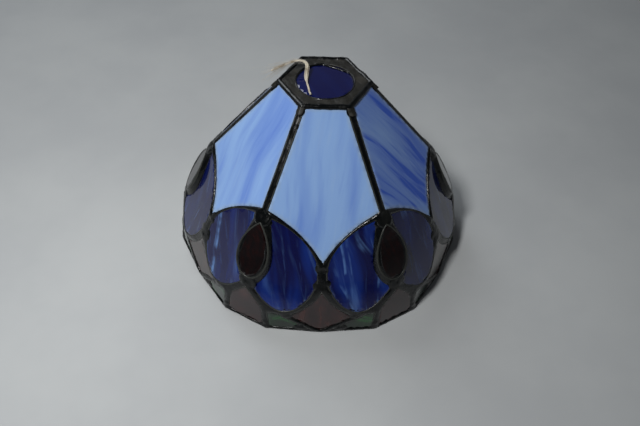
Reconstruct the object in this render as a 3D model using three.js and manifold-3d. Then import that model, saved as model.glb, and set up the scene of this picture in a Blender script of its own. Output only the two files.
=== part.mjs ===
// Six-sided leaded-glass lamp hood with a peacock-feather band, millimetres, +Z up.
// The hood stands on its rim. The origin is the middle of its foot, on the surface it stands on.
// Flat panes of glass sit in the openings of one solder network, which is split into six ridge sectors.
import * as THREE from "three";
import { mergeVertices } from "three/addons/utils/BufferGeometryUtils.js";
import Module from "manifold-3d";

const wasm = await Module();
wasm.setup();

// Outer face of the glass: radius of each level and its height above the foot.
const SIDES = 6;
const SHOULDER_CORNER = { radius: 33.2, height: 149.4 };  // ridge, where the panels meet the cap band
const BELT_CORNER = { radius: 84.0, height: 91.2 };       // ridge, where the feathers start
const EYE_FOOT = { radius: 107.8, height: 45.0 };         // ridge, lower end of the feather eye
const DIAMOND_TOP = { radius: 105.2, height: 41.2 };      // middle of a side
const PANEL_TIP_DROP = 38.5;                              // from the belt down the panel to its tip
const RIM_CORNER = { radius: 115.5, angle: 9.0 };         // house corner, degrees from the ridge
const RIM_MIDDLE = 111.3;                                 // rim radius at the middle of a side
const HOUSE_LEAN = 3.5;                                   // degrees that the house piece leans inwards
const LEAF_LEAN = 3.0;

// Glass and solder.
const GLASS_THICKNESS = 3;
const CLEARANCE = 0.3;        // gap between a pane and the solder around it
const SOLDER_PROUD = 1.2;     // solder above the outer face of the glass
const SOLDER_DEPTH = 4.2;     // solder below the outer face of the glass
const EYE_PROUD = 1.2;        // the eye stands above the ridge line
const EYE_SOLDER_DEPTH = 7.2;
const OPENING_REACH = 10;     // sight openings are cut this far to both sides of a pane
const FINE_STEPS = 4;         // steps in one curve of a pane's edge
const COARSE_STEPS = 2;       // steps in one curve of the solder around a pane
const MITRE_LIMIT = 1.4;      // longest mitre at a sharp corner, in offset distances
const SAME_POINT = 1e-6;      // outline points closer than this are one point
const WELD = 1e-4;            // mesh corners closer than this are one corner

// Cap band, its round pane, and the rim.
const BAND_TOP = 150;
const BAND_BOTTOM = 145;
const BAND_TOP_CORNER = 33;
const BAND_SHOULDER = { radius: 34.9, height: 149.4 };
const BAND_FOOT_CORNER = 38.8;
const CAP_RADIUS = 20.3;
const CAP_TOP = 149;
const ROUND_SEGMENTS = 36;
const RIM_BEAD_HEIGHT = 1.2;
const RIM_BEAD_OUT = 1;
const RIM_BEAD_IN = 4.4;
const PANE_FOOT = 1.8;        // lower edge of the house, leaf and diamond openings, up their slope

// Loose cotton tag string on the cap: hand-placed points of its middle line.
const STRING_RADIUS = 0.6;
const STRING_SIDES = 8;
const STRING_ROUTE = [
  [-10.6, -16.8, 150.9], [-11.2, -13.2, 149.95], [-11.9, -8.6, 149.95], [-12.7, -4.0, 149.95],
  [-13.3, 0.6, 150.1], [-13.4, 4.6, 151.3], [-13.0, 8.2, 153.4], [-13.4, 11.0, 155.6],
  [-15.6, 12.8, 157.2], [-19.2, 13.4, 157.4], [-23.4, 13.0, 156.7], [-27.4, 11.6, 155.7],
  [-31.2, 9.6, 154.9], [-34.8, 7.4, 154.4], [-38.2, 5.2, 154.0],
];

const radians = THREE.MathUtils.degToRad;
const HALF_SIDE = 180 / SIDES;
const ridges = Array.from({ length: SIDES }, (_, i) => i * 2 * HALF_SIDE);
const sideMiddles = ridges.map((ridge) => ridge + HALF_SIDE);

const FINISH = {
  opal: { color: 0x7d9fd0, roughness: 0.22, metalness: 0 },
  cobalt: { color: 0x14265c, roughness: 0.12, metalness: 0 },
  maroon: { color: 0x2a0d0c, roughness: 0.3, metalness: 0 },
  russet: { color: 0x3f2624, roughness: 0.25, metalness: 0 },
  green: { color: 0x24452c, roughness: 0.22, metalness: 0 },
  solder: { color: 0x1b1e20, roughness: 0.4, metalness: 0.7 },
  cotton: { color: 0xd8d2c2, roughness: 0.95, metalness: 0 },
};

// ---------- helpers ----------

function point(radius, angle, height) {
  const a = radians(angle);
  return new THREE.Vector3(radius * Math.cos(a), radius * Math.sin(a), height);
}

// Frame of a flat pane seen from outside: x to the right, y up the slope, z out of the hood.
function paneFrame(origin, above, right) {
  const up = above.clone().sub(origin).normalize();
  const out = right.clone().sub(origin).cross(up).normalize();
  const across = up.clone().cross(out);
  return new THREE.Matrix4().makeBasis(across, up, out).setPosition(origin);
}

function openLoop(points) {
  const first = points[0];
  const apart = (p, q) => p.distanceTo(q) > SAME_POINT;
  return points.filter((p, i) => i === 0 || (apart(p, points[i - 1]) && apart(p, first)));
}

// Moves every edge of a closed outline outwards by a distance, with mitred corners.
function offset(points, distance) {
  const loop = openLoop(points);
  if (THREE.ShapeUtils.isClockWise(loop)) {
    loop.reverse();
  }
  const outward = loop.map((p, i) => {
    const next = loop[(i + 1) % loop.length];
    const edge = next.clone().sub(p).normalize();
    return new THREE.Vector2(edge.y, -edge.x);
  });
  return loop.map((p, i) => {
    const before = outward[(i + loop.length - 1) % loop.length];
    const after = outward[i];
    const mitre = before.clone().add(after).divideScalar(1 + before.dot(after)).clampLength(0, MITRE_LIMIT);
    return p.clone().addScaledVector(mitre, distance);
  });
}

// Flat plate between two heights of a pane's own frame.
function plate(points, bottom, top) {
  const shape = new THREE.Shape(points);
  const geometry = new THREE.ExtrudeGeometry(shape, { depth: top - bottom, bevelEnabled: false });
  return geometry.translate(0, 0, bottom);
}

function solid(geometry) {
  const bare = geometry.clone();
  bare.deleteAttribute("normal");
  bare.deleteAttribute("uv");
  const merged = mergeVertices(bare, WELD);
  return new wasm.Manifold(new wasm.Mesh({
    numProp: 3,
    vertProperties: new Float32Array(merged.attributes.position.array),
    triVerts: new Uint32Array(merged.index.array),
  }));
}

function geometryOf(manifold) {
  const mesh = manifold.getMesh();
  const geometry = new THREE.BufferGeometry();
  geometry.setAttribute("position", new THREE.BufferAttribute(new Float32Array(mesh.vertProperties), 3));
  geometry.setIndex(new THREE.BufferAttribute(new Uint32Array(mesh.triVerts), 1));
  return geometry;
}

function joined(solids) {
  return solids.reduce((sum, next) => sum.add(next));
}

function without(body, cutters) {
  return cutters.reduce((rest, cutter) => rest.subtract(cutter), body);
}

function named(name, geometry, finish) {
  const mesh = new THREE.Mesh(geometry, new THREE.MeshStandardMaterial(FINISH[finish]));
  mesh.name = name;
  return mesh;
}

function turnAboutAxis(angle) {
  return new THREE.Matrix4().makeRotationZ(radians(angle));
}

// ---------- sight outlines, in each pane's own frame; side is +1 right, -1 left ----------

function panelOutline() {
  const shape = new THREE.Shape();
  shape.moveTo(-14.2, 71.8);
  shape.lineTo(-39.2, 0.5);
  shape.bezierCurveTo(-23.1, -9.5, -9.5, -21, 0, -37.8);
  shape.bezierCurveTo(9.5, -21, 23.1, -9.5, 39.2, 0.5);
  shape.lineTo(14.2, 71.8);
  return shape;
}

function featherOutline(side) {
  const shape = new THREE.Shape();
  shape.moveTo(5.8 * side, -3.7);
  shape.bezierCurveTo(25 * side, -5.4, 48 * side, -19.2, 49.4 * side, -38.5);
  shape.bezierCurveTo(50.8 * side, -55.6, 40.2 * side, -72.2, 29.2 * side, -72.2);
  shape.bezierCurveTo(19.2 * side, -72.2, 10.5 * side, -64.2, 4.4 * side, -58.4);
  shape.bezierCurveTo(9.8 * side, -54.8, 14.2 * side, -47.1, 14.2 * side, -38.4);
  shape.bezierCurveTo(14.2 * side, -30, 9.4 * side, -16.1, 5.8 * side, -3.7);
  return shape;
}

function eyeOutline() {
  const shape = new THREE.Shape();
  shape.moveTo(0, -9);
  shape.bezierCurveTo(3.7, -12.1, 12, -22.8, 12, -34.6);
  shape.bezierCurveTo(12, -45.4, 6.3, -52.3, 0, -52.3);
  shape.bezierCurveTo(-6.3, -52.3, -12, -45.4, -12, -34.6);
  shape.bezierCurveTo(-12, -22.8, -3.7, -12.1, 0, -9);
  return shape;
}

function diamondOutline() {
  const shape = new THREE.Shape();
  shape.moveTo(0, 41);
  shape.quadraticCurveTo(8.2, 25, 24, 16.4);
  shape.lineTo(0, PANE_FOOT);
  shape.lineTo(-24, 16.4);
  shape.quadraticCurveTo(-8.2, 25, 0, 41);
  return shape;
}

function houseOutline() {
  const shape = new THREE.Shape();
  shape.moveTo(0, 36.6);
  shape.lineTo(13.2, 22);
  shape.lineTo(15.9, PANE_FOOT);
  shape.lineTo(-15.9, PANE_FOOT);
  shape.lineTo(-13.2, 22);
  return shape;
}

function leafOutline(side) {
  const shape = new THREE.Shape();
  shape.moveTo(1.2 * side, 19.4);
  shape.quadraticCurveTo(10 * side, 17.8, 16 * side, 13.8);
  shape.lineTo(35 * side, PANE_FOOT);
  shape.lineTo(2.6 * side, PANE_FOOT);
  return shape;
}

// ---------- frames: panels and diamonds about the middle of a side, the rest about a ridge ----------

const middleOf = (corner) => corner.radius * Math.cos(radians(HALF_SIDE));
const beltMiddle = new THREE.Vector3(middleOf(BELT_CORNER), 0, BELT_CORNER.height);
const shoulderMiddle = new THREE.Vector3(middleOf(SHOULDER_CORNER), 0, SHOULDER_CORNER.height);
const downPanel = beltMiddle.clone().sub(shoulderMiddle).normalize();
const panelTip = beltMiddle.clone().addScaledVector(downPanel, PANEL_TIP_DROP);

const beltCorner = point(BELT_CORNER.radius, 0, BELT_CORNER.height);
const eyeFoot = point(EYE_FOOT.radius, 0, EYE_FOOT.height);
const upRidge = beltCorner.clone().sub(eyeFoot).normalize();
const beyondBelt = beltCorner.clone().add(upRidge);

const panelFrame = paneFrame(beltMiddle, shoulderMiddle, beltMiddle.clone().setY(1));
const diamondFrame = paneFrame(
  point(RIM_MIDDLE, 0, 0),
  point(DIAMOND_TOP.radius, 0, DIAMOND_TOP.height),
  point(RIM_MIDDLE, 0, 0).setY(1),
);
const eyeFrame = paneFrame(beltCorner, beyondBelt, beltCorner.clone().setY(1))
  .multiply(new THREE.Matrix4().makeTranslation(0, 0, EYE_PROUD));

function rimCorner(side) {
  return point(RIM_CORNER.radius, RIM_CORNER.angle * side, 0);
}

function houseFrame() {
  const foot = new THREE.Vector3(rimCorner(1).x, 0, 0);
  const lean = radians(HOUSE_LEAN);
  const above = foot.clone().add(new THREE.Vector3(-Math.sin(lean), 0, Math.cos(lean)));
  return paneFrame(foot, above, foot.clone().setY(1));
}

function featherFrame(side) {
  const tip = panelTip.clone().applyMatrix4(turnAboutAxis(HALF_SIDE * side));
  const right = side > 0 ? tip : beltCorner.clone().multiplyScalar(2).sub(tip);
  return paneFrame(beltCorner, beyondBelt, right);
}

function leafFrame(side) {
  const corner = rimCorner(side);
  const middle = point(RIM_MIDDLE, HALF_SIDE * side, 0);
  const across = middle.clone().sub(corner).multiplyScalar(side);
  const inwards = new THREE.Vector3(-across.y, across.x, 0).normalize();
  const lean = radians(LEAF_LEAN);
  const above = corner.clone().addScaledVector(inwards, Math.sin(lean)).setZ(Math.cos(lean));
  return paneFrame(corner, above, corner.clone().add(across));
}

// ---------- panes ----------

function pane(name, finish, outline, frame, reach, solderDepth = SOLDER_DEPTH) {
  return { name, finish, outline, frame, reach, solderDepth };
}

const panelPane = pane("panel", "opal", panelOutline(), panelFrame, 4);
const diamondPane = pane("diamond", "russet", diamondOutline(), diamondFrame, 5);
const eyePane = pane("eye", "maroon", eyeOutline(), eyeFrame, 4.2, EYE_SOLDER_DEPTH);
const housePane = pane("house", "russet", houseOutline(), houseFrame(), 4.6);
const featherPanes = [1, -1].map((side) => pane(
  side > 0 ? "feather_right" : "feather_left", "cobalt", featherOutline(side), featherFrame(side), 4.2,
));
const leafPanes = [1, -1].map((side) => pane(
  side > 0 ? "leaf_right" : "leaf_left", "green", leafOutline(side), leafFrame(side), 4.6,
));

function glassGeometry(item) {
  return plate(offset(item.outline.getPoints(FINE_STEPS), -CLEARANCE), -GLASS_THICKNESS, 0);
}

function placedSolid(geometry, item, turn) {
  return solid(geometry.applyMatrix4(item.frame).applyMatrix4(turnAboutAxis(turn)));
}

function sightOpening(item, turn = 0) {
  const outline = offset(item.outline.getPoints(FINE_STEPS), 0);
  return placedSolid(plate(outline, -OPENING_REACH, OPENING_REACH), item, turn);
}

function solderPlate(item, turn = 0) {
  const outline = offset(item.outline.getPoints(COARSE_STEPS), item.reach);
  return placedSolid(plate(outline, -item.solderDepth, SOLDER_PROUD), item, turn);
}

// ---------- solder network, cap band and rim ----------

function cylinder(radius, bottom, top) {
  const geometry = new THREE.CylinderGeometry(radius, radius, top - bottom, ROUND_SEGMENTS);
  return geometry.rotateX(Math.PI / 2).translate(0, 0, (bottom + top) / 2);
}

// One sixth of the hood's height range, kept clear of the next sector by half a gap on each side.
function sectorWedge() {
  const far = 2 * RIM_CORNER.radius;
  const start = CLEARANCE / 2 / Math.sin(radians(HALF_SIDE));
  const half = (far - start) * Math.tan(radians(HALF_SIDE));
  const corners = [[start, 0], [far, -half], [far, half]].map(([x, y]) => new THREE.Vector2(x, y));
  return solid(plate(corners, RIM_BEAD_HEIGHT + CLEARANCE, BAND_BOTTOM - CLEARANCE));
}

function sectorSolder() {
  const around = [
    [eyePane, 0], [housePane, 0], [featherPanes[0], 0], [featherPanes[1], 0],
    [leafPanes[0], 0], [leafPanes[1], 0],
    [panelPane, HALF_SIDE], [panelPane, -HALF_SIDE],
    [diamondPane, HALF_SIDE], [diamondPane, -HALF_SIDE],
  ];
  const body = joined(around.map(([item, turn]) => solderPlate(item, turn))).intersect(sectorWedge());
  return largest(without(body, around.map(([item, turn]) => sightOpening(item, turn))));
}

// Drops loose slivers that the cuts leave behind.
function largest(manifold) {
  const pieces = manifold.decompose();
  return pieces.reduce((best, next) => (next.volume() > best.volume() ? next : best));
}

function capBand() {
  const profile = [
    [0, BAND_BOTTOM], [BAND_FOOT_CORNER, BAND_BOTTOM], [BAND_SHOULDER.radius, BAND_SHOULDER.height],
    [BAND_TOP_CORNER, BAND_TOP], [0, BAND_TOP],
  ].map(([x, y]) => new THREE.Vector2(x, y));
  const hexagon = new THREE.LatheGeometry(profile, SIDES, Math.PI / 2).rotateX(Math.PI / 2);
  const seat = solid(cylinder(CAP_RADIUS + CLEARANCE, BAND_BOTTOM - 1, BAND_TOP + 1));
  const panels = sideMiddles.map((turn) => sightOpening(panelPane, turn));
  return largest(without(solid(hexagon), [seat, ...panels]));
}

function rimPolygon() {
  const around = ridges.flatMap((ridge) => {
    const middle = point(RIM_MIDDLE, HALF_SIDE, 0);
    return [rimCorner(-1), rimCorner(1), middle].map((p) => p.applyMatrix4(turnAboutAxis(ridge)));
  });
  return around.map((p) => new THREE.Vector2(p.x, p.y));
}

function rimBead() {
  const outer = solid(plate(offset(rimPolygon(), RIM_BEAD_OUT), 0, RIM_BEAD_HEIGHT));
  const inner = solid(plate(offset(rimPolygon(), -RIM_BEAD_IN), -1, RIM_BEAD_HEIGHT + 1));
  return outer.subtract(inner);
}

function tagString() {
  const route = new THREE.CatmullRomCurve3(STRING_ROUTE.map((p) => new THREE.Vector3(...p)));
  const ring = Array.from({ length: STRING_SIDES }, (_, i) => {
    const a = (i / STRING_SIDES) * 2 * Math.PI;
    return new THREE.Vector2(STRING_RADIUS * Math.cos(a), STRING_RADIUS * Math.sin(a));
  });
  const options = { steps: 2 * STRING_ROUTE.length, extrudePath: route, bevelEnabled: false };
  return new THREE.ExtrudeGeometry(new THREE.Shape(ring), options);
}

// ---------- scene graph ----------

function placedPane(item, name) {
  const mesh = named(name, glassGeometry(item), item.finish);
  mesh.applyMatrix4(item.frame);
  return mesh;
}

// Side 1 faces -Y; sides and ridges are numbered to the right, seen from outside.
function sideGroup(number) {
  const group = new THREE.Group();
  group.rotation.z = radians(-90 + (number - 1) * 2 * HALF_SIDE);
  group.add(placedPane(panelPane, `panel_${number}`));
  group.add(placedPane(diamondPane, `diamond_${number}`));
  return group;
}

function ridgeGroup(number, solderGeometry) {
  const group = new THREE.Group();
  group.rotation.z = radians(-90 + HALF_SIDE + (number - 1) * 2 * HALF_SIDE);
  for (const item of [eyePane, housePane, ...featherPanes, ...leafPanes]) {
    group.add(placedPane(item, `${item.name}_${number}`));
  }
  group.add(named(`solder_seams_${number}`, solderGeometry, "solder"));
  return group;
}

const hood = new THREE.Group();
const solderGeometry = geometryOf(sectorSolder());
for (let number = 1; number <= SIDES; number += 1) {
  hood.add(sideGroup(number));
  hood.add(ridgeGroup(number, solderGeometry));
}
const capGlass = cylinder(CAP_RADIUS, CAP_TOP - GLASS_THICKNESS, CAP_TOP);
hood.add(named("cap_glass", capGlass, "cobalt"));
hood.add(named("cap_band", geometryOf(capBand()), "solder"));
hood.add(named("rim_bead", geometryOf(rimBead()), "solder"));
hood.add(named("tag_string", tagString(), "cotton"));

export default hood;
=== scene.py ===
"""Six-sided stained-glass lamp hood with a peacock-feather band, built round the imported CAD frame.

Every pane's outline is read from its CAD node, and the hand-run solder beads are grown between them.
"""
import math
import random

import bmesh
import bpy
import numpy as np
from mathutils import Matrix, Vector, noise
from mathutils.geometry import delaunay_2d_cdt


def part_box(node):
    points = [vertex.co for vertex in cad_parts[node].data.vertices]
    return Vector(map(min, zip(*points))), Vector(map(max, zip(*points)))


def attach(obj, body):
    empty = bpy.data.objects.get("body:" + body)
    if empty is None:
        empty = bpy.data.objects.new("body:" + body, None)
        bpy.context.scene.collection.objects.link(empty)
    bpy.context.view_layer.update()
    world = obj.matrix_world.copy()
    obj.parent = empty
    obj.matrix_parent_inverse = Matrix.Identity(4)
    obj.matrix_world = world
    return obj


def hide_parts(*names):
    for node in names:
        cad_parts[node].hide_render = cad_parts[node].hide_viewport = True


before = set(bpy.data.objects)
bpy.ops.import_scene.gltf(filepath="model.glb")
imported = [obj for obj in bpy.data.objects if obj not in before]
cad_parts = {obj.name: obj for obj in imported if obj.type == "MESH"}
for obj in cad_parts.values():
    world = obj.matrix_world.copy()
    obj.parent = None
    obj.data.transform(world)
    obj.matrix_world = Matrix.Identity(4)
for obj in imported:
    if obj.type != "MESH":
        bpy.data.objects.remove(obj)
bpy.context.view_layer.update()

MM = 0.001
UP = Vector((0, 0, 1))
SIDES = 6

# ---------- camera ----------

CAMERA_PLACE = Vector((-0.0192, -0.4013, 0.4384))
CAMERA_DOWN = math.radians(46.62)
CAMERA_RIGHT = math.radians(2.88)
CAMERA_ROLL = math.radians(2.84)
CAMERA_LENS = 38.48


def make_camera():
    """The photo's viewpoint: above the front, a little to the left."""
    data = bpy.data.cameras.new("camera")
    data.lens = CAMERA_LENS
    data.sensor_width = 36
    camera = bpy.data.objects.new("camera", data)
    tilt = Matrix.Rotation(math.pi / 2 - CAMERA_DOWN, 4, "X")
    turn = Matrix.Rotation(-CAMERA_RIGHT, 4, "Z")
    roll = Matrix.Rotation(CAMERA_ROLL, 4, "Z")
    camera.matrix_world = Matrix.Translation(CAMERA_PLACE) @ turn @ tilt @ roll
    bpy.context.scene.collection.objects.link(camera)
    bpy.context.scene.camera = camera


make_camera()

# ---------- node helpers ----------


class Shader:
    """A Principled material and short ways to add nodes to it."""

    def __init__(self, name):
        self.material = bpy.data.materials.new(name)
        self.material.use_nodes = True
        self.tree = self.material.node_tree
        self.principled = self.tree.nodes["Principled BSDF"]

    def set(self, **values):
        """Sets sockets to plain values, each by its name with underscores for spaces."""
        for key, value in values.items():
            self.principled.inputs[key.replace("_", " ")].default_value = value

    def wire(self, value, socket):
        """Joins another node's output to a socket, or sets the socket to a plain value."""
        if isinstance(value, bpy.types.NodeSocket):
            self.tree.links.new(value, socket)
        else:
            socket.default_value = value

    def drive(self, key, value):
        self.wire(value, self.principled.inputs[key])

    def position(self, kind="Object"):
        return self.tree.nodes.new("ShaderNodeTexCoord").outputs[kind]

    def mapping(self, vector, stretch=1.0, turn=0.0, shift=(0, 0, 0)):
        """Coordinates turned by an angle and then drawn out along their own y, by this many times."""
        node = self.tree.nodes.new("ShaderNodeMapping")
        node.vector_type = "TEXTURE"
        self.wire(vector, node.inputs["Vector"])
        node.inputs["Scale"].default_value = (1, stretch, 1)
        node.inputs["Rotation"].default_value = (0, 0, turn)
        node.inputs["Location"].default_value = shift
        return node.outputs["Vector"]

    def warped(self, vector, scale, amount):
        """Coordinates pushed about by a broad noise, so that what is drawn on them bends."""
        node = self.tree.nodes.new("ShaderNodeTexNoise")
        self.wire(vector, node.inputs["Vector"])
        node.inputs["Scale"].default_value = scale
        node.inputs["Detail"].default_value = 1.0
        centred = self.tree.nodes.new("ShaderNodeVectorMath")
        centred.operation = "SUBTRACT"
        self.wire(node.outputs["Color"], centred.inputs[0])
        centred.inputs[1].default_value = (0.5, 0.5, 0.5)
        push = self.tree.nodes.new("ShaderNodeVectorMath")
        push.operation = "MULTIPLY_ADD"
        self.wire(centred.outputs["Vector"], push.inputs[0])
        push.inputs[1].default_value = (amount, amount, 0)
        self.wire(vector, push.inputs[2])
        return push.outputs["Vector"]

    def attribute(self, name):
        node = self.tree.nodes.new("ShaderNodeAttribute")
        node.attribute_name = name
        return node.outputs["Fac"]

    def noise(self, vector, scale, detail=4.0, rough=0.55, distortion=0.0):
        node = self.tree.nodes.new("ShaderNodeTexNoise")
        self.wire(vector, node.inputs["Vector"])
        node.inputs["Scale"].default_value = scale
        node.inputs["Detail"].default_value = detail
        node.inputs["Roughness"].default_value = rough
        node.inputs["Distortion"].default_value = distortion
        return node.outputs["Fac"]

    def range(self, value, low, high, to_low=0.0, to_high=1.0):
        """A value carried from one range to another, easing in and out of it."""
        node = self.tree.nodes.new("ShaderNodeMapRange")
        node.interpolation_type = "SMOOTHSTEP"
        self.wire(value, node.inputs["Value"])
        node.inputs["From Min"].default_value = low
        node.inputs["From Max"].default_value = high
        node.inputs["To Min"].default_value = to_low
        node.inputs["To Max"].default_value = to_high
        return node.outputs["Result"]

    def clamped(self, operation, a, b):
        """The result of a sum on two values, kept between 0 and 1."""
        node = self.tree.nodes.new("ShaderNodeMath")
        node.operation = operation
        node.use_clamp = True
        self.wire(a, node.inputs[0])
        self.wire(b, node.inputs[1])
        return node.outputs[0]

    def plus(self, a, b):
        return self.clamped("ADD", a, b)

    def times(self, a, b):
        return self.clamped("MULTIPLY", a, b)

    def mix(self, factor, a, b):
        node = self.tree.nodes.new("ShaderNodeMix")
        node.data_type = "RGBA"
        self.wire(factor, node.inputs["Factor"])
        self.wire(a, node.inputs["A"])
        self.wire(b, node.inputs["B"])
        return node.outputs["Result"]

    def bump(self, height, strength, distance):
        node = self.tree.nodes.new("ShaderNodeBump")
        node.inputs["Strength"].default_value = strength
        node.inputs["Distance"].default_value = distance
        self.wire(height, node.inputs["Height"])
        self.drive("Normal", node.outputs["Normal"])


def srgb(red, green, blue):
    """A screen colour, 0 to 255, as the linear colour that a shader takes."""
    def linear(c):
        c /= 255
        return c / 12.92 if c <= 0.04045 else ((c + 0.055) / 1.055) ** 2.4
    return (linear(red), linear(green), linear(blue), 1.0)


# ---------- colours ----------

OPAL_PALE = srgb(134, 168, 218)
OPAL_DEEP = srgb(42, 86, 192)
OPAL_MILK = srgb(158, 184, 212)
OPAL_EDGE = srgb(150, 168, 182)
COBALT_DEEP = srgb(6, 10, 62)
COBALT_MID = srgb(16, 44, 120)
COBALT_WISP = srgb(104, 146, 208)

# Body-coloured glass: its body, its deeper clouds and its paler clouds.
RUSSET = (srgb(50, 28, 28), srgb(36, 23, 25), srgb(70, 38, 35))
GREEN = (srgb(24, 52, 32), srgb(22, 34, 28), srgb(34, 86, 42))
MAROON = (srgb(20, 5, 5), srgb(9, 4, 5), srgb(30, 7, 6))

SOLDER_BLACK = srgb(5, 7, 8)
SOLDER_GREY = srgb(26, 25, 21)
SOLDER_DUST = srgb(22, 23, 20)
SOLDER_BAND_DUST = srgb(48, 45, 38)
SOLDER_PIT = srgb(6, 6, 6)
SOLDER_FOIL = srgb(46, 48, 45)
COTTON_CREAM = srgb(206, 198, 180)
COTTON_STAIN = srgb(150, 136, 114)
FIBRE_PALE = srgb(196, 192, 184)
FIBRE_STAIN = srgb(170, 160, 144)
PAPER_DULL = srgb(172, 175, 177)
PAPER_PALE = srgb(180, 183, 184)

# How each panel's glass was cut from its sheet: the lean of its streaks, in radians to the left of upright,
# how much of it the deep zones cover, how strong its narrow streaks are, and how deep its blue is.
PANEL_LOOKS = (
    {"turn": -0.12, "reach": 0.1, "streak": 0.3, "deep": 0.55},
    {"turn": 0.34, "reach": 0.3, "streak": 0.8, "deep": 1.15},
    {"turn": 0.1, "reach": 0.14, "streak": 0.4, "deep": 0.7},
    {"turn": -0.3, "reach": 0.12, "streak": 0.4, "deep": 0.6},
    {"turn": 0.25, "reach": 0.16, "streak": 0.5, "deep": 0.75},
    {"turn": 0.14, "reach": 0.12, "streak": 0.35, "deep": 0.6},
)

# The same for the cobalt glass: lean, strength of the wisps, and how much lighter the broad bands are.
FEATHER_LOOKS = {
    "left": (-0.1, 0.4, 0.5),
    "right": (0.12, 0.35, 0.5),
    ("left", 1): (0.12, 0.9, 0.8),
    ("right", 6): (0.16, 0.55, 0.75),
    ("left", 6): (0.3, 0.6, 0.6),
    ("right", 1): (0.0, 0.2, 0.25),
}
CAP_LOOK = (0.5, 0.0, 0.12)

# ---------- materials ----------


def pane_coordinates(shader, across, up):
    """A pane's own flat coordinates, in decimetres, from its own spot on the sheet."""
    return shader.mapping(shader.position("UV"), shift=(across, up, 0))


def glossy_skin(shader, uv, roughness, shine=0.5):
    """The bright fire-polished face of sheet glass, with its faint ripple."""
    patch = shader.noise(uv, 14.0, 3.0, 0.5)
    shader.drive("Roughness", shader.range(patch, 0.3, 0.7, roughness, roughness + 0.04))
    shader.set(IOR=1.52, Specular_IOR_Level=shine, Coat_Weight=0.2, Coat_Roughness=0.02)
    ripples = shader.noise(uv, 22.0, 2.0, 0.4)
    shader.bump(ripples, 0.1, 0.4 * MM)


def opal_glass(number):
    """Pale blue opal glass: broad soft zones of deeper blue, and long drawn-out streaks across them."""
    look = PANEL_LOOKS[number - 1]
    shader = Shader(f"opal_glass_{number}")
    uv = pane_coordinates(shader, number * 1.7, number * 0.9)
    bent = shader.warped(uv, 1.3, 0.2)
    broad = shader.noise(shader.mapping(bent, 7.0, look["turn"]), 5.0, 2.0, 0.45, 0.2)
    middle = shader.noise(shader.mapping(bent, 10.0, look["turn"] + 0.08), 12.0, 3.0, 0.5, 0.2)
    fine = shader.noise(shader.mapping(bent, 14.0, look["turn"] - 0.05), 36.0, 3.0, 0.5, 0.1)
    zone = shader.range(broad, 0.52 - look["reach"], 0.68)
    streak = shader.range(middle, 0.48, 0.74)
    depth = shader.plus(shader.times(zone, 0.6), shader.times(streak, look["streak"]))
    colour = shader.mix(shader.times(depth, look["deep"]), OPAL_PALE, OPAL_DEEP)
    thread = shader.times(shader.range(fine, 0.52, 0.78), 0.2)
    colour = shader.mix(thread, colour, OPAL_MILK)
    vein = shader.times(shader.range(fine, 0.46, 0.26), 0.2 * look["deep"])
    colour = shader.mix(vein, colour, OPAL_DEEP)
    edge = shader.range(shader.attribute("edge"), 0.0, 1.0, 0.5, 0.0)
    shader.drive("Base Color", shader.mix(edge, colour, OPAL_EDGE))
    glossy_skin(shader, uv, 0.09)
    return shader.material


def cobalt_glass(name, seed, turn, wisp, lift):
    """Dark cobalt glass with broad lighter bands, and a few long bright wisps that fan out along it."""
    shader = Shader(name)
    uv = pane_coordinates(shader, seed * 1.3, seed * 2.1)
    bent = shader.warped(uv, 1.8, 0.16)
    band = shader.noise(shader.mapping(bent, 5.0, turn), 7.0, 2.0, 0.5, 0.2)
    lengthwise = shader.noise(shader.mapping(bent, 60.0, turn - 0.08), 26.0, 2.0, 0.45)
    crossing = shader.noise(shader.mapping(bent, 40.0, turn + 0.3), 20.0, 2.0, 0.45)
    haze = shader.noise(shader.mapping(bent, 8.0, turn + 0.1), 15.0, 3.0, 0.5, 0.2)
    fade = shader.noise(uv, 6.0, 2.0, 0.5)
    lighter = shader.times(shader.range(band, 0.42, 0.7), lift)
    colour = shader.mix(lighter, COBALT_DEEP, COBALT_MID)
    soft = shader.times(shader.range(haze, 0.52, 0.76), 0.3 * wisp)
    colour = shader.mix(soft, colour, COBALT_WISP)
    crossed = shader.times(shader.range(crossing, 0.6, 0.76), 0.5)
    wisps = shader.plus(shader.range(lengthwise, 0.57, 0.74), crossed)
    wisps = shader.times(wisps, shader.range(fade, 0.4, 0.6))
    colour = shader.mix(shader.times(wisps, wisp), colour, COBALT_WISP)
    shader.drive("Base Color", colour)
    glossy_skin(shader, uv, 0.035)
    return shader.material


def soft_glass(name, colours, seed, turn, scale=14.0, roughness=0.07, shine=0.5):
    """Dark body-coloured glass with soft clouds along it and a fine mottle."""
    body, deep, pale = colours
    shader = Shader(name)
    uv = pane_coordinates(shader, seed * 1.1, seed * 0.7)
    cloud = shader.noise(shader.mapping(shader.warped(uv, 4.0, 0.1), 2.6, turn), scale, 3.0, 0.5, 0.3)
    grain = shader.noise(uv, scale * 7, 4.0, 0.6)
    colour = shader.mix(shader.range(cloud, 0.35, 0.65), deep, body)
    bright = shader.times(shader.range(cloud, 0.56, 0.74), 0.8)
    colour = shader.mix(bright, colour, pale)
    speckle = shader.times(shader.range(grain, 0.5, 0.75), 0.25)
    shader.drive("Base Color", shader.mix(speckle, colour, deep))
    glossy_skin(shader, uv, roughness, shine)
    return shader.material


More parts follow.
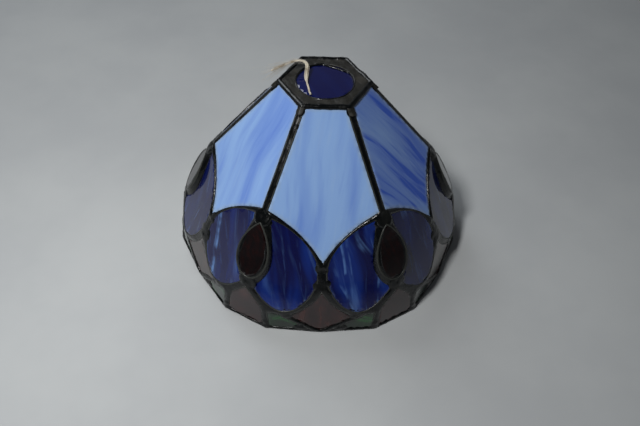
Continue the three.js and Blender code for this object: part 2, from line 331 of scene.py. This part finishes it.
def patina_solder(name, roughness, colour, dust, stain_colour=SOLDER_DUST):
    """Black-patina solder: dark, waxed, finely lumpy, with duller greenish stains."""
    shader = Shader(name)
    place = shader.position()
    lumps = shader.noise(place, 330.0, 4.0, 0.6)
    pits = shader.noise(place, 1400.0, 3.0, 0.6)
    stain = shader.noise(place, 85.0, 5.0, 0.65)
    stained = shader.times(shader.range(stain, 0.46, 0.7), dust)
    shade = shader.mix(stained, colour, stain_colour)
    pitted = shader.times(shader.range(pits, 0.55, 0.75), 0.3)
    shader.drive("Base Color", shader.mix(pitted, shade, SOLDER_PIT))
    shader.drive("Roughness", shader.range(stain, 0.35, 0.7, roughness, roughness + 0.22))
    shader.set(IOR=1.42, Specular_IOR_Level=0.5)
    shader.bump(shader.plus(lumps, shader.times(pits, 0.35)), 0.3, 0.5 * MM)
    return shader.material


def cotton(name, colour, dull):
    """Matt cotton thread, stained here and there."""
    shader = Shader(name)
    place = shader.position()
    fibres = shader.noise(place, 2200.0, 3.0, 0.6)
    stain = shader.noise(place, 160.0, 3.0, 0.5)
    shader.drive("Base Color", shader.mix(shader.range(stain, 0.4, 0.65), colour, dull))
    shader.set(Roughness=0.9, Sheen_Weight=0.3)
    shader.bump(fibres, 0.4, 0.2 * MM)
    return shader.material


# ---------- outlines from the CAD panes ----------

CORNER_TURN = math.radians(33)
OUTLINE_STEP = 0.9 * MM
SAME_CORNER = 0.002 * MM
FLAT_WITHIN = math.radians(0.5)
LEVEL = 0.99


def clean_mesh(node):
    """The node's mesh with coplanar triangles merged."""
    mesh = bmesh.new()
    mesh.from_mesh(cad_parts[node].data)
    bmesh.ops.remove_doubles(mesh, verts=mesh.verts, dist=SAME_CORNER)
    bmesh.ops.dissolve_limit(mesh, angle_limit=FLAT_WITHIN, verts=mesh.verts, edges=mesh.edges)
    return mesh


class Pane:
    """A flat CAD pane: its outer face's plane, and its outline in that plane, smooth between its corners.

    The outer face is the largest that looks away from the axis and up, which holds for the level cap too.
    """

    def __init__(self, node):
        self.node = node
        mesh = clean_mesh(node)
        centre = sum((v.co for v in mesh.verts), Vector()) / len(mesh.verts)
        outwards = Vector((centre.x, centre.y, 20 * MM))
        faces = [f for f in mesh.faces if f.normal.dot(outwards) > 0]
        face = max(faces, key=lambda f: f.calc_area())
        self.out = face.normal.copy()
        upright = Vector((0, 1, 0)) if self.out.z > LEVEL else UP
        self.up = (upright - upright.dot(self.out) * self.out).normalized()
        self.across = self.up.cross(self.out)
        self.origin = face.calc_center_median()
        points = [self.flat(v.co) for v in face.verts]
        mesh.free()
        self.outline = smooth_outline(points)
        self.normals = outward_normals(self.outline)

    def flat(self, place):
        """A place in space as flat coordinates in the pane's plane."""
        step = place - self.origin
        return np.array((step.dot(self.across), step.dot(self.up)))

    def solid(self, x, y, height=0.0):
        """Flat coordinates, and a height over the outer face, as a place in space."""
        return self.origin + self.across * float(x) + self.up * float(y) + self.out * float(height)

    def direction(self, x, y):
        """A flat direction in the pane's plane as one in space."""
        return self.across * float(x) + self.up * float(y)


def turn_at(before, here, after):
    """How far an outline turns at one of its points, in radians."""
    a = here - before
    b = after - here
    return abs(math.atan2(a[0] * b[1] - a[1] * b[0], float(a @ b)))


def spline_points(a, b, c, d, step=OUTLINE_STEP):
    """Points from b up to, but not including, c on a Catmull-Rom curve."""
    steps = max(1, round(float(np.linalg.norm(c - b)) / step))
    t = np.arange(steps)[:, None] / steps
    square = (2 * a - 5 * b + 4 * c - d) * t ** 2
    cube = (3 * b - a - 3 * c + d) * t ** 3
    return 0.5 * (2 * b + (c - a) * t + square + cube)


def smooth_outline(points):
    """A dense closed outline through the points: curved, but straight into and out of the sharp corners."""
    count = len(points)
    turns = [turn_at(points[i - 1], points[i], points[(i + 1) % count]) for i in range(count)]
    corner = [turn > CORNER_TURN for turn in turns]
    dense = []
    for i in range(count):
        b, c = points[i], points[(i + 1) % count]
        a = b + (b - c) * 0.5 if corner[i] else points[i - 1]
        d = c + (c - b) * 0.5 if corner[(i + 1) % count] else points[(i + 2) % count]
        dense.append(spline_points(a, b, c, d))
    return np.vstack(dense)


def outward_normals(outline):
    """The way out of the outline at each of its points."""
    after = np.roll(outline, -1, 0)
    tangent = after - np.roll(outline, 1, 0)
    normal = np.stack((tangent[:, 1], -tangent[:, 0]), 1)
    normal /= np.linalg.norm(normal, axis=1)[:, None]
    area = np.sum(outline[:, 0] * after[:, 1] - after[:, 0] * outline[:, 1])
    return normal if area > 0 else -normal


def inside(points, outline):
    """Which points lie inside the closed outline."""
    x, y = points[:, 0][:, None], points[:, 1][:, None]
    x1, y1 = outline[:, 0], outline[:, 1]
    x2, y2 = np.roll(x1, -1), np.roll(y1, -1)
    crosses = (y1 > y) != (y2 > y)
    rise = np.where(y2 == y1, 1.0, y2 - y1)
    at = x1 + (y - y1) * (x2 - x1) / rise
    return (np.sum(crosses & (x < at), axis=1) % 2) == 1


# ---------- pieces ----------


def mesh_object(name, verts, faces):
    """An object from an array of corners and an array of faces that all have as many corners."""
    mesh = bpy.data.meshes.new(name)
    mesh.vertices.add(len(verts))
    mesh.vertices.foreach_set("co", np.asarray(verts, dtype=np.float32).ravel())
    mesh.loops.add(faces.size)
    mesh.loops.foreach_set("vertex_index", faces.astype(np.int32).ravel())
    mesh.polygons.add(len(faces))
    mesh.polygons.foreach_set("loop_start", np.arange(0, faces.size, faces.shape[1], dtype=np.int32))
    mesh.update(calc_edges=True)
    piece = bpy.data.objects.new(name, mesh)
    bpy.context.scene.collection.objects.link(piece)
    return piece


def finished(piece, material, slot, *replaced):
    """Gives a piece its material and its body, and hides the CAD nodes that it stands for. The slot is not
    used.
    """
    piece.data.materials.clear()
    piece.data.materials.append(material)
    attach(piece, "root")
    if replaced:
        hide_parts(*replaced)


# ---------- glass ----------

GLASS_TUCK = 1.0 * MM
GLASS_THICK = 3.0 * MM
GRID_STEP = 2.4 * MM
GRID_LOOSE = 0.3 * GRID_STEP
GRID_CLEAR = 0.4 * GRID_STEP
EDGE_GLOW = 3.2 * MM
UV_PER_METRE = 10


def surface_wave(place, seed):
    """The gentle unevenness of rolled sheet glass."""
    broad = noise.noise(place * 38 + Vector((seed, 0, 0)))
    small = noise.noise(place * 110 + Vector((0, seed, 0)))
    return 0.1 * MM * broad + 0.012 * MM * small


def inner_grid(outline, rng):
    """Points scattered over the inside of an outline, kept clear of its edge."""
    low, high = outline.min(0), outline.max(0)
    xs = np.arange(low[0] + GRID_STEP / 2, high[0], GRID_STEP)
    ys = np.arange(low[1] + GRID_STEP / 2, high[1], GRID_STEP)
    grid = np.array([
        (x + rng.uniform(-GRID_LOOSE, GRID_LOOSE), y + rng.uniform(-GRID_LOOSE, GRID_LOOSE))
        for x in xs for y in ys
    ])
    grid = grid[inside(grid, outline)]
    return grid[edge_distance(grid, outline) > GRID_CLEAR]


def edge_distance(points, outline):
    """How far each point is from the nearest point of the outline."""
    return np.min(np.linalg.norm(points[:, None] - outline[None], axis=2), axis=1)


def sheet(outline, seed):
    """A flat sheet that fills the outline: its points, and its triangles, which face outwards."""
    count = len(outline)
    flat = [Vector(p) for p in np.vstack((outline, inner_grid(outline, random.Random(seed))))]
    loop = [(i, (i + 1) % count) for i in range(count)]
    points, _, faces, _, _, _ = delaunay_2d_cdt(flat, loop, [], 1, 1e-7)
    a, b, c = (points[i] for i in faces[0])
    facing_out = (b - a).cross(c - a) > 0
    return points, [tuple(f) if facing_out else tuple(reversed(f)) for f in faces]


def glass_piece(pane, material, slot, seed):
    """A pane of sheet glass with a slightly wavy face, reaching a little way under the solder."""
    outline = pane.outline + pane.normals * GLASS_TUCK
    points, front = sheet(outline, seed)
    total = len(points)
    verts = [pane.solid(p.x, p.y, surface_wave(pane.solid(p.x, p.y), seed)) for p in points]
    verts += [pane.solid(p.x, p.y, -GLASS_THICK) for p in points]
    back = [tuple(i + total for i in reversed(f)) for f in front]
    edges = {(f[i], f[(i + 1) % 3]) for f in front for i in range(3)}
    sides = [(j, i, i + total, j + total) for i, j in sorted(edges) if (j, i) not in edges]
    mesh = bpy.data.meshes.new(f"glass_{pane.node}")
    mesh.from_pydata(verts, [], front + back + sides)
    mesh.polygons.foreach_set("use_smooth", [True] * (2 * len(front)) + [False] * len(sides))
    layer = mesh.uv_layers.new(name="pane")
    spots = [(p.x * UV_PER_METRE, p.y * UV_PER_METRE) for p in points] * 2
    for corner in mesh.loops:
        layer.data[corner.index].uv = spots[corner.vertex_index]
    from_edge = edge_distance(np.array([tuple(p) for p in points]), outline) - GLASS_TUCK
    glow = np.clip(from_edge / EDGE_GLOW, 0, 1)
    attribute = mesh.attributes.new("edge", "FLOAT", "POINT")
    attribute.data.foreach_set("value", np.tile(glow, 2).astype(np.float32))
    mesh.update()
    piece = bpy.data.objects.new(f"glass_{pane.node}", mesh)
    bpy.context.scene.collection.objects.link(piece)
    finished(piece, material, slot, pane.node)


# The copper foil folded round each pane's edge: distance outwards and height round its section, in mm.
FOIL_SECTION = [
    (0.0, 0.1), (1.15, 0.1), (1.15, -3.1), (0.0, -3.1),
    (0.0, -2.95), (1.03, -2.95), (1.03, -0.1), (0.0, -0.1),
]


def foil_piece(pane, material):
    """The foil round one pane, whose inner edge shows as a fine line beside the solder."""
    rings = []
    for outwards, height in FOIL_SECTION:
        line = pane.outline + pane.normals * outwards * MM
        rings.append([pane.solid(x, y, height * MM) for x, y in line])
    count, sides = len(pane.outline), len(FOIL_SECTION)
    verts = np.array([rings[k][i] for i in range(count) for k in range(sides)])
    faces = []
    for i in range(count):
        j = (i + 1) % count
        for k in range(sides):
            n = (k + 1) % sides
            faces.append((i * sides + k, j * sides + k, j * sides + n, i * sides + n))
    piece = mesh_object(f"foil_{pane.node}", verts, np.array(faces))
    face_out(piece)
    finished(piece, material, "patina_solder")


def face_out(piece):
    """Turns every face of a closed piece outwards."""
    mesh = bmesh.new()
    mesh.from_mesh(piece.data)
    bmesh.ops.recalc_face_normals(mesh, faces=mesh.faces)
    mesh.to_mesh(piece.data)
    mesh.free()


def make_glass():
    """Every pane's glass and foil. Returns the panes."""
    panes = []
    foil = patina_solder("patina_foil", roughness=0.3, colour=SOLDER_FOIL, dust=0.3)
    for number in range(1, SIDES + 1):
        panel = opal_glass(number)
        diamond = soft_glass(f"russet_glass_a{number}", RUSSET, number, 0.0)
        eye = soft_glass(f"maroon_glass_{number}", MAROON, number, 0.3, scale=30.0, roughness=0.12, shine=0.3)
        house = soft_glass(f"russet_glass_b{number}", RUSSET, number + 9, -0.9)
        rows = [
            (f"panel_{number}", panel, "opal_blue_glass"),
            (f"diamond_{number}", diamond, "russet_glass"),
            (f"eye_{number}", eye, "maroon_glass"),
            (f"house_{number}", house, "russet_glass"),
        ]
        for side in ("left", "right"):
            look = FEATHER_LOOKS.get((side, number), FEATHER_LOOKS[side])
            cobalt = cobalt_glass(f"cobalt_glass_{side}_{number}", number + 7 * (side == "right"), *look)
            rows.append((f"feather_{side}_{number}", cobalt, "cobalt_glass"))
            seed = number + 8 * (side == "right")
            green = soft_glass(f"green_glass_{side}_{number}", GREEN, seed, 1.3, scale=11.0)
            rows.append((f"leaf_{side}_{number}", green, "green_glass"))
        for node, material, slot in rows:
            pane = Pane(node)
            glass_piece(pane, material, slot, len(panes) + 1)
            foil_piece(pane, foil)
            panes.append(pane)
    glass_piece(Pane("cap_glass"), cobalt_glass("cobalt_glass_cap", 31, *CAP_LOOK), "cobalt_glass", 99)
    return panes


# ---------- solder ----------

BEAD_LAP = 0.15 * MM
BEAD_SPACING = 0.6 * MM
BEAD_CROWN = 1.3 * MM
DROP_LENGTH = 1.6 * MM
SEAM_REACH = 13 * MM
PATCH_REACH = 11 * MM
# Farther than any seam, in metres.
FAR = 1.0
# A seam leaves a pane's edge less than about 63 degrees from square to it.
AHEAD = 0.45
# In mm, how far the seams' ends lie out and down from the cap band's corner line, and in from the rim's.
BAND_STANDOFF = 0.6
RIM_INSET = 0.9
VOXEL = 0.5 * MM
EDGE_VOXEL = 0.45 * MM
MOST_TRIANGLES = 180000
# The solder's unevenness, in waves to the metre: from drop to drop, and broad and fine on its skin.
SWELL_WAVES = 110
BROAD_WAVES = 190
FINE_WAVES = 560


def closed_line(corners, step):
    """Evenly spaced points on a closed polygon in space."""
    points = []
    for i, corner in enumerate(corners):
        after = corners[(i + 1) % len(corners)]
        steps = max(1, round((after - corner).length / step))
        points += [corner.lerp(after, k / steps) for k in range(steps)]
    return points


def level_corners(node, level, low, high):
    """The node's corners at one height and between two radii, in order round the axis."""
    found = {}
    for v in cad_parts[node].data.vertices:
        radius = math.hypot(v.co.x, v.co.y)
        if abs(v.co.z - level) < 0.05 * MM and low < radius < high:
            found[(round(v.co.x, 5), round(v.co.y, 5))] = v.co.copy()
    return sorted(found.values(), key=lambda p: math.atan2(p.y, p.x))


def rim_corners():
    """The outer corners of the rim bead's top face."""
    low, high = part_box("rim_bead")
    return level_corners("rim_bead", high[2], 0.975 * high[0], 1.1 * high[1])


def band_corners():
    """The outer corners of the cap band's top face."""
    low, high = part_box("cap_band")
    return level_corners("cap_band", high[2], 0.7 * high[0], high[1])


def away_from_axis(place):
    """The level direction from the hood's axis to a place."""
    return Vector((place.x, place.y, 0)).normalized()


def crown(half):
    """How far a bead of this half-width stands above the glass.

    It grows with the seam up to a half-width of 1.5 mm. From 2.2 mm it falls off towards a quarter.
    """
    narrow = min(1, half / (1.5 * MM))
    wide = 0.25 + 0.75 * math.exp(-max(0, half / MM - 2.2) / 1.1)
    return BEAD_CROWN * narrow * wide


def bead_drop(middle, out, across, half, patch):
    """A drop of solder, short along a seam or round on a patch: its centre, axes and half-sizes."""
    out = (out - out.dot(across) * across).normalized()
    tall = GLASS_THICK / 2 + crown(half)
    wider = 1 / math.sqrt(1 - (GLASS_THICK / 2 / tall) ** 2)
    centre = middle - out * GLASS_THICK / 2
    along = half if patch else min(half, DROP_LENGTH)
    return centre, (across, out.cross(across), out), (half * wider, along * wider, tall)


def edge_samples(panes):
    """Every point that a seam can end on: its place, its owner, the way out of it, and its face's normal."""
    places, owners, ways, outs = [], [], [], []
    for index, pane in enumerate(panes):
        for (x, y), (u, v) in zip(pane.outline, pane.normals):
            places.append(pane.solid(x, y))
            owners.append(index)
            ways.append(pane.direction(u, v))
            outs.append(pane.out)
    for place in closed_line(band_corners(), OUTLINE_STEP):
        away = away_from_axis(place)
        places.append(place + away * BAND_STANDOFF * MM - Vector((0, 0, BAND_STANDOFF * MM)))
        owners.append(len(panes))
        ways.append((away - UP).normalized())
        outs.append((away + UP).normalized())
    for place in closed_line(rim_corners(), OUTLINE_STEP):
        away = away_from_axis(place)
        places.append(place - away * RIM_INSET * MM)
        owners.append(len(panes) + 1)
        ways.append(UP)
        outs.append(away)
    return np.array(places), np.array(owners), np.array(ways), np.array(outs)


def seam_drops(panes):
    """Drops of solder half-way between each point of a pane's edge and the nearest edge across the seam."""
    places, owners, ways, outs = edge_samples(panes)
    drops, taken = [], set()

    def add(middle, out, across, patch):
        key = tuple(round(c / BEAD_SPACING) for c in middle)
        if key in taken:
            return
        taken.add(key)
        half = float(np.min(np.linalg.norm(places - middle, axis=1))) + BEAD_LAP
        axes = Vector(out).normalized(), Vector(across).normalized()
        drops.append(bead_drop(Vector(middle), *axes, half, patch))

    for i, place in enumerate(places):
        steps = places - place
        gaps = np.linalg.norm(steps, axis=1)
        ahead = steps @ ways[i] > AHEAD * gaps
        gaps = np.where((owners != owners[i]) & ahead, gaps, FAR)
        first = int(np.argmin(gaps))
        if gaps[first] > SEAM_REACH:
            continue
        out = outs[i] + outs[first]
        add((place + places[first]) / 2, out, steps[first], patch=False)
        gaps[owners == owners[first]] = FAR
        second = int(np.argmin(gaps))
        if gaps[second] < PATCH_REACH:
            middle = (place + places[first] + places[second]) / 3
            add(middle, out + outs[second], steps[first], patch=True)
    return drops


# The drops round the foot, round the cap band and round the cap glass: half-sizes across, along and up.
RIM_DROP = (1.9 * MM, 1.6 * MM, 1.3 * MM)
BAND_DROP = (2.3 * MM, 1.7 * MM, 2.1 * MM)
LIP_DROP = (1.2 * MM, 1.3 * MM, 1.75 * MM)


def ring_drop(centre, across, sizes):
    """A drop of solder that stands upright in a ring."""
    return centre, (across, UP.cross(across), UP), sizes


def rim_drops():
    """The bead that runs round the foot of the hood."""
    drops = []
    for place in closed_line(rim_corners(), BEAD_SPACING):
        inwards = -away_from_axis(place)
        centre = place + inwards * 2.0 * MM + UP * 0.2 * MM
        drops.append(ring_drop(centre, inwards, RIM_DROP))
    return drops


def drops_mesh(name, drops, swell):
    """All the drops as one object of overlapping balls."""
    ball = bmesh.new()
    bmesh.ops.create_icosphere(ball, subdivisions=2, radius=1.0)
    round_verts = np.array([v.co for v in ball.verts])
    round_faces = np.array([[v.index for v in f.verts] for f in ball.faces])
    ball.free()
    verts, faces = [], []
    for centre, axes, sizes in drops:
        grow = 1 + swell * noise.noise(centre * SWELL_WAVES)
        basis = np.array([axis * size * grow for axis, size in zip(axes, sizes)])
        verts.append(round_verts @ basis + np.array(centre))
        faces.append(round_faces + len(round_verts) * len(faces))
    return mesh_object(name, np.vstack(verts), np.vstack(faces))


def apply_modifiers(piece):
    """Keeps the result of a piece's modifiers as its own mesh."""
    depsgraph = bpy.context.evaluated_depsgraph_get()
    result = bpy.data.meshes.new_from_object(piece.evaluated_get(depsgraph))
    piece.modifiers.clear()
    piece.data = result


def fuse(piece, voxel, rounds):
    """Turns overlapping solids into one closed skin, and softens it."""
    remesh = piece.modifiers.new("remesh", "REMESH")
    remesh.mode = "VOXEL"
    remesh.voxel_size = voxel
    soften = piece.modifiers.new("soften", "SMOOTH")
    soften.factor = 0.5
    soften.iterations = rounds
    apply_modifiers(piece)


def thin_out(piece):
    """Keeps the mesh under the most triangles that one piece may have."""
    triangles = 2 * len(piece.data.polygons)
    if triangles > MOST_TRIANGLES:
        decimate = piece.modifiers.new("decimate", "DECIMATE")
        decimate.ratio = MOST_TRIANGLES / triangles
        apply_modifiers(piece)


def roughen(piece, broad, fine, floor=None):
    """Moves the skin in and out by broad and fine noise, but not below the surface it stands on, if any."""
    mesh = piece.data
    count = len(mesh.vertices)
    places = np.empty(count * 3, dtype=np.float32)
    normals = np.empty(count * 3, dtype=np.float32)
    mesh.vertices.foreach_get("co", places)
    mesh.vertex_normals.foreach_get("vector", normals)
    places = places.reshape(-1, 3)
    normals = normals.reshape(-1, 3)
    push = [
        broad * noise.noise(Vector(p) * BROAD_WAVES) + fine * noise.noise(Vector(p) * FINE_WAVES)
        for p in places
    ]
    places += normals * np.array(push, dtype=np.float32)[:, None]
    if floor is not None:
        places[:, 2] = np.maximum(places[:, 2], floor)
    mesh.vertices.foreach_set("co", places.ravel())
    mesh.polygons.foreach_set("use_smooth", [True] * len(mesh.polygons))
    mesh.update()


def make_seams(panes):
    """The beads over every seam and round the foot, as one skin."""
    piece = drops_mesh("solder_network", seam_drops(panes) + rim_drops(), 0.06)
    fuse(piece, VOXEL, 3)
    roughen(piece, 0.14 * MM, 0.05 * MM, 0.02 * MM)
    thin_out(piece)
    bead = patina_solder("patina_solder_bead", roughness=0.15, colour=SOLDER_BLACK, dust=0.5)
    nodes = [f"solder_seams_{n}" for n in range(1, SIDES + 1)] + ["rim_bead"]
    finished(piece, bead, "patina_solder", *nodes)


# The lip of solder round the cap glass runs straight for a stretch, where the glass was cut short.
LIP_RADIUS = 21.2 * MM
LIP_FLAT = 18.4 * MM
LIP_FLAT_AT = math.radians(62)


def band_drops():
    """The rolled outer edge of the cap band, and the lip round its glass."""
    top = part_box("cap_band")[1][2]
    drops = []
    for place in closed_line(band_corners(), BEAD_SPACING):
        inwards = -away_from_axis(place)
        centre = place + inwards * 0.4 * MM - UP * 1.3 * MM
        drops.append(ring_drop(centre, inwards, BAND_DROP))
    count = round(2 * math.pi * LIP_RADIUS / BEAD_SPACING)
    for k in range(count):
        angle = 2 * math.pi * k / count
        away = Vector((math.cos(angle), math.sin(angle), 0))
        facing = math.cos(angle - LIP_FLAT_AT)
        radius = min(LIP_RADIUS, LIP_FLAT / facing) if facing > 0.5 else LIP_RADIUS
        radius += 0.5 * MM * noise.noise(away * 2.2)
        centre = away * radius + UP * (top - 1.4 * MM)
        drops.append(ring_drop(centre, away, LIP_DROP))
    return drops


def make_band():
    """The wide flat band of solder round the cap glass, dull between its two glossy rounded edges."""
    edges = drops_mesh("solder_cap_edges", band_drops(), 0.16)
    fuse(edges, EDGE_VOXEL, 4)
    roughen(edges, 0.3 * MM, 0.08 * MM)
    glossy = patina_solder("patina_band_edge", roughness=0.12, colour=SOLDER_BLACK, dust=0.4)
    finished(edges, glossy, "patina_solder")
    flat = bpy.data.objects.new("solder_cap_band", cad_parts["cap_band"].data.copy())
    bpy.context.scene.collection.objects.link(flat)
    fuse(flat, VOXEL, 6)
    roughen(flat, 0.3 * MM, 0.1 * MM)
    dull = patina_solder("patina_band", 0.34, SOLDER_GREY, 0.75, SOLDER_BAND_DUST)
    finished(flat, dull, "patina_solder", "cap_band")


# ---------- tag string ----------

STRING_DIAMETER = 1.2 * MM
PLY_RADIUS = 0.34 * MM
PLY_OFFSET = 0.42 * MM
PLY_LAY = 7 * MM
LOOSE_COUNT = 16
LOOSE_RADIUS = 0.2 * MM
LOOSE_SPREAD = 1.7 * MM
FIBRE_COUNT = 150
FIBRE_RADIUS = 0.05 * MM

# The string's middle line in mm: from its plain end on the cap glass, over its arch, to its frayed end.
STRING_ROUTE = [
    (-10.6, -16.8, 150.9), (-11.2, -13.2, 149.95), (-11.9, -8.6, 149.95), (-12.7, -4.0, 149.95),
    (-13.3, 0.6, 150.1), (-13.4, 4.6, 151.3), (-13.0, 8.2, 153.4), (-13.4, 11.0, 155.6),
    (-15.6, 12.8, 157.2), (-19.2, 13.4, 157.4), (-23.4, 13.0, 156.7), (-27.4, 11.6, 155.7),
    (-31.2, 9.6, 154.9), (-34.8, 7.4, 154.4), (-38.2, 5.2, 154.0),
]
ROUTE_STEP = 0.5 * MM


def route_points():
    """The string's middle line, dense enough for its plies and fibres."""
    corners = [np.array(p) * MM for p in STRING_ROUTE]
    corners = [2 * corners[0] - corners[1]] + corners + [2 * corners[-1] - corners[-2]]
    runs = [spline_points(*corners[i:i + 4], ROUTE_STEP) for i in range(len(corners) - 3)]
    return np.vstack(runs + [corners[-2][None]])


def strands(name, lines, radius, material, round_steps=1):
    """Thin round strands, one along each line of points."""
    data = bpy.data.curves.new(name, "CURVE")
    data.dimensions = "3D"
    data.bevel_depth = radius
    data.bevel_resolution = round_steps
    data.use_fill_caps = True
    for line in lines:
        spline = data.splines.new("POLY")
        spline.points.add(len(line) - 1)
        for point, place in zip(spline.points, line):
            point.co = (*place, 1.0)
    piece = bpy.data.objects.new(name, data)
    bpy.context.scene.collection.objects.link(piece)
    finished(piece, material, "cotton_string")
    return piece


def across_route(route, k):
    """Two directions square to the string at one of its points."""
    along = Vector(route[min(k + 1, len(route) - 1)] - route[max(k - 1, 0)]).normalized()
    side = along.cross(UP).normalized()
    return np.array(side), np.array(side.cross(along))


def ply_lines(route):
    """Three plies twisted together round the core."""
    lines = []
    for ply in range(3):
        line = []
        for k, place in enumerate(route):
            angle = 2 * math.pi * (ply / 3 + k * ROUTE_STEP / PLY_LAY)
            side, up = across_route(route, k)
            line.append(place + (side * math.cos(angle) + up * math.sin(angle)) * PLY_OFFSET)
        lines.append(line)
    return lines


def loose_lines(route, count, first, last, spread, rng):
    """Loose strands that run beside part of the string and bow away from it in the middle."""
    lines = []
    for _ in range(count):
        start = rng.randrange(first, first + (last - first) // 3)
        end = rng.randrange(last - (last - first) // 3, last)
        angle = rng.uniform(-0.3 * math.pi, 1.3 * math.pi)
        reach = rng.uniform(0.3, 1) * spread
        line = []
        for k in range(start, end):
            bow = math.sin(math.pi * (k - start) / (end - start)) ** 0.6
            side, up = across_route(route, k)
            line.append(route[k] + (side * math.cos(angle) + up * math.sin(angle)) * reach * bow)
        lines.append(line)
    return lines


def tuft_lines(route, count, first, rng):
    """The frayed end: fibres that leave the string and fan out into a thin veil."""
    lines = []
    for _ in range(count):
        start = rng.randrange(first, len(route) - 18)
        length = rng.randrange(16, 46)
        fan = rng.gauss(0, 1)
        lift = rng.gauss(0, 1)
        curl = rng.uniform(-1, 1)
        side, _ = across_route(route, start)
        line = []
        for k in range(length):
            along = min(start + k, len(route) - 1)
            beyond = max(0, start + k - along)
            grow = k / 40
            place = route[along] + (route[-1] - route[-2]) * beyond
            place = place + side * (fan * 3.4 * grow + 0.5 * curl * math.sin(5 * grow)) * MM
            place = place + np.array((0, 0, lift * 2.0 * grow - 1.2 * grow * grow)) * MM
            line.append(place)
        lines.append(line)
    return lines


def make_string():
    """The tag string: a core with three plies, loose strands round its arch, and a frayed tuft."""
    rng = random.Random(7)
    route = route_points()
    cream = cotton("cotton_ply", COTTON_CREAM, COTTON_STAIN)
    pale = cotton("cotton_fibre", FIBRE_PALE, FIBRE_STAIN)
    core = strands("string_core", [route], STRING_DIAMETER / 2, cream)
    bend = round(0.36 * len(route))
    arch = round(0.62 * len(route))
    plies = strands("string_plies", ply_lines(route[:arch + 12]), PLY_RADIUS, cream)
    loose = loose_lines(route, LOOSE_COUNT, bend - 22, arch, LOOSE_SPREAD, rng)
    bundle = strands("string_bundle", loose, LOOSE_RADIUS, cream)
    tuft = strands("string_tuft", tuft_lines(route, FIBRE_COUNT, bend + 8, rng), FIBRE_RADIUS, pale, 0)
    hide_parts("tag_string")


# ---------- stage ----------


FLOOR_SIZE = 6
FLOOR_MIDDLE = (0, 1.2, 0)


def make_floor():
    """The grey paper that the hood stands on."""
    bpy.ops.mesh.primitive_plane_add(size=FLOOR_SIZE, location=FLOOR_MIDDLE)
    floor = bpy.context.object
    floor.name = "paper_floor"
    shader = Shader("paper")
    place = shader.position()
    mottle = shader.noise(place, 7.0, 4.0, 0.6)
    grain = shader.noise(place, 900.0, 3.0, 0.6)
    shader.drive("Base Color", shader.mix(shader.range(mottle, 0.3, 0.7), PAPER_DULL, PAPER_PALE))
    shader.set(Roughness=0.8)
    shader.bump(grain, 0.08, 0.3 * MM)
    floor.data.materials.append(shader.material)


def area_light(name, place, aim, size, power, colour, spread=180):
    """A round soft lamp at a place, turned to another place. Its spread is in degrees."""
    data = bpy.data.lights.new(name, "AREA")
    data.shape = "DISK"
    data.size = size
    data.energy = power
    data.color = colour
    data.spread = math.radians(spread)
    light = bpy.data.objects.new(name, data)
    light.location = place
    light.rotation_euler = (Vector(aim) - Vector(place)).to_track_quat("-Z", "Y").to_euler()
    bpy.context.scene.collection.objects.link(light)


# The pale sweep round the object ends in a slanting line, higher behind it than in front. Above it is dim.
SWEEP_TILT = Vector((0, -0.41, 1))
SWEEP_EDGE = 0.43
SWEEP_STOPS = [(0.0, 0.17), (SWEEP_EDGE - 0.04, 0.1), (SWEEP_EDGE + 0.04, 0.035), (1.0, 0.05)]
SWEEP_TINT = (0.96, 0.99, 1.05)


def make_light():
    """The room's dim light, a small warm key lamp over the left and a wide cool fill behind."""
    world = bpy.data.worlds.new("studio")
    world.use_nodes = True
    tree = world.node_tree
    background = tree.nodes["Background"]
    way = tree.nodes.new("ShaderNodeTexCoord").outputs["Generated"]
    height = tree.nodes.new("ShaderNodeVectorMath")
    height.operation = "DOT_PRODUCT"
    tree.links.new(way, height.inputs[0])
    height.inputs[1].default_value = SWEEP_TILT
    ramp = tree.nodes.new("ShaderNodeValToRGB")
    tree.links.new(height.outputs["Value"], ramp.inputs["Fac"])
    elements = ramp.color_ramp.elements
    while len(elements) < len(SWEEP_STOPS):
        elements.new(0.5)
    for element, (at, level) in zip(elements, SWEEP_STOPS):
        element.position = at
        element.color = (*(level * part for part in SWEEP_TINT), 1)
    tree.links.new(ramp.outputs["Color"], background.inputs["Color"])
    background.inputs["Strength"].default_value = 1.0
    bpy.context.scene.world = world
    area_light("key", (-0.27, -0.34, 0.72), (-0.13, -0.05, 0), 0.14, 2.15, (1, 0.995, 0.98), 120)
    area_light("fill", (-0.6, 0.9, 1.2), (0, 0.3, 0), 0.9, 7.5, (0.93, 0.97, 1))


# ---------- build ----------

bpy.context.scene.view_settings.view_transform = "Standard"
make_string()
make_seams(make_glass())
make_band()
make_floor()
make_light()
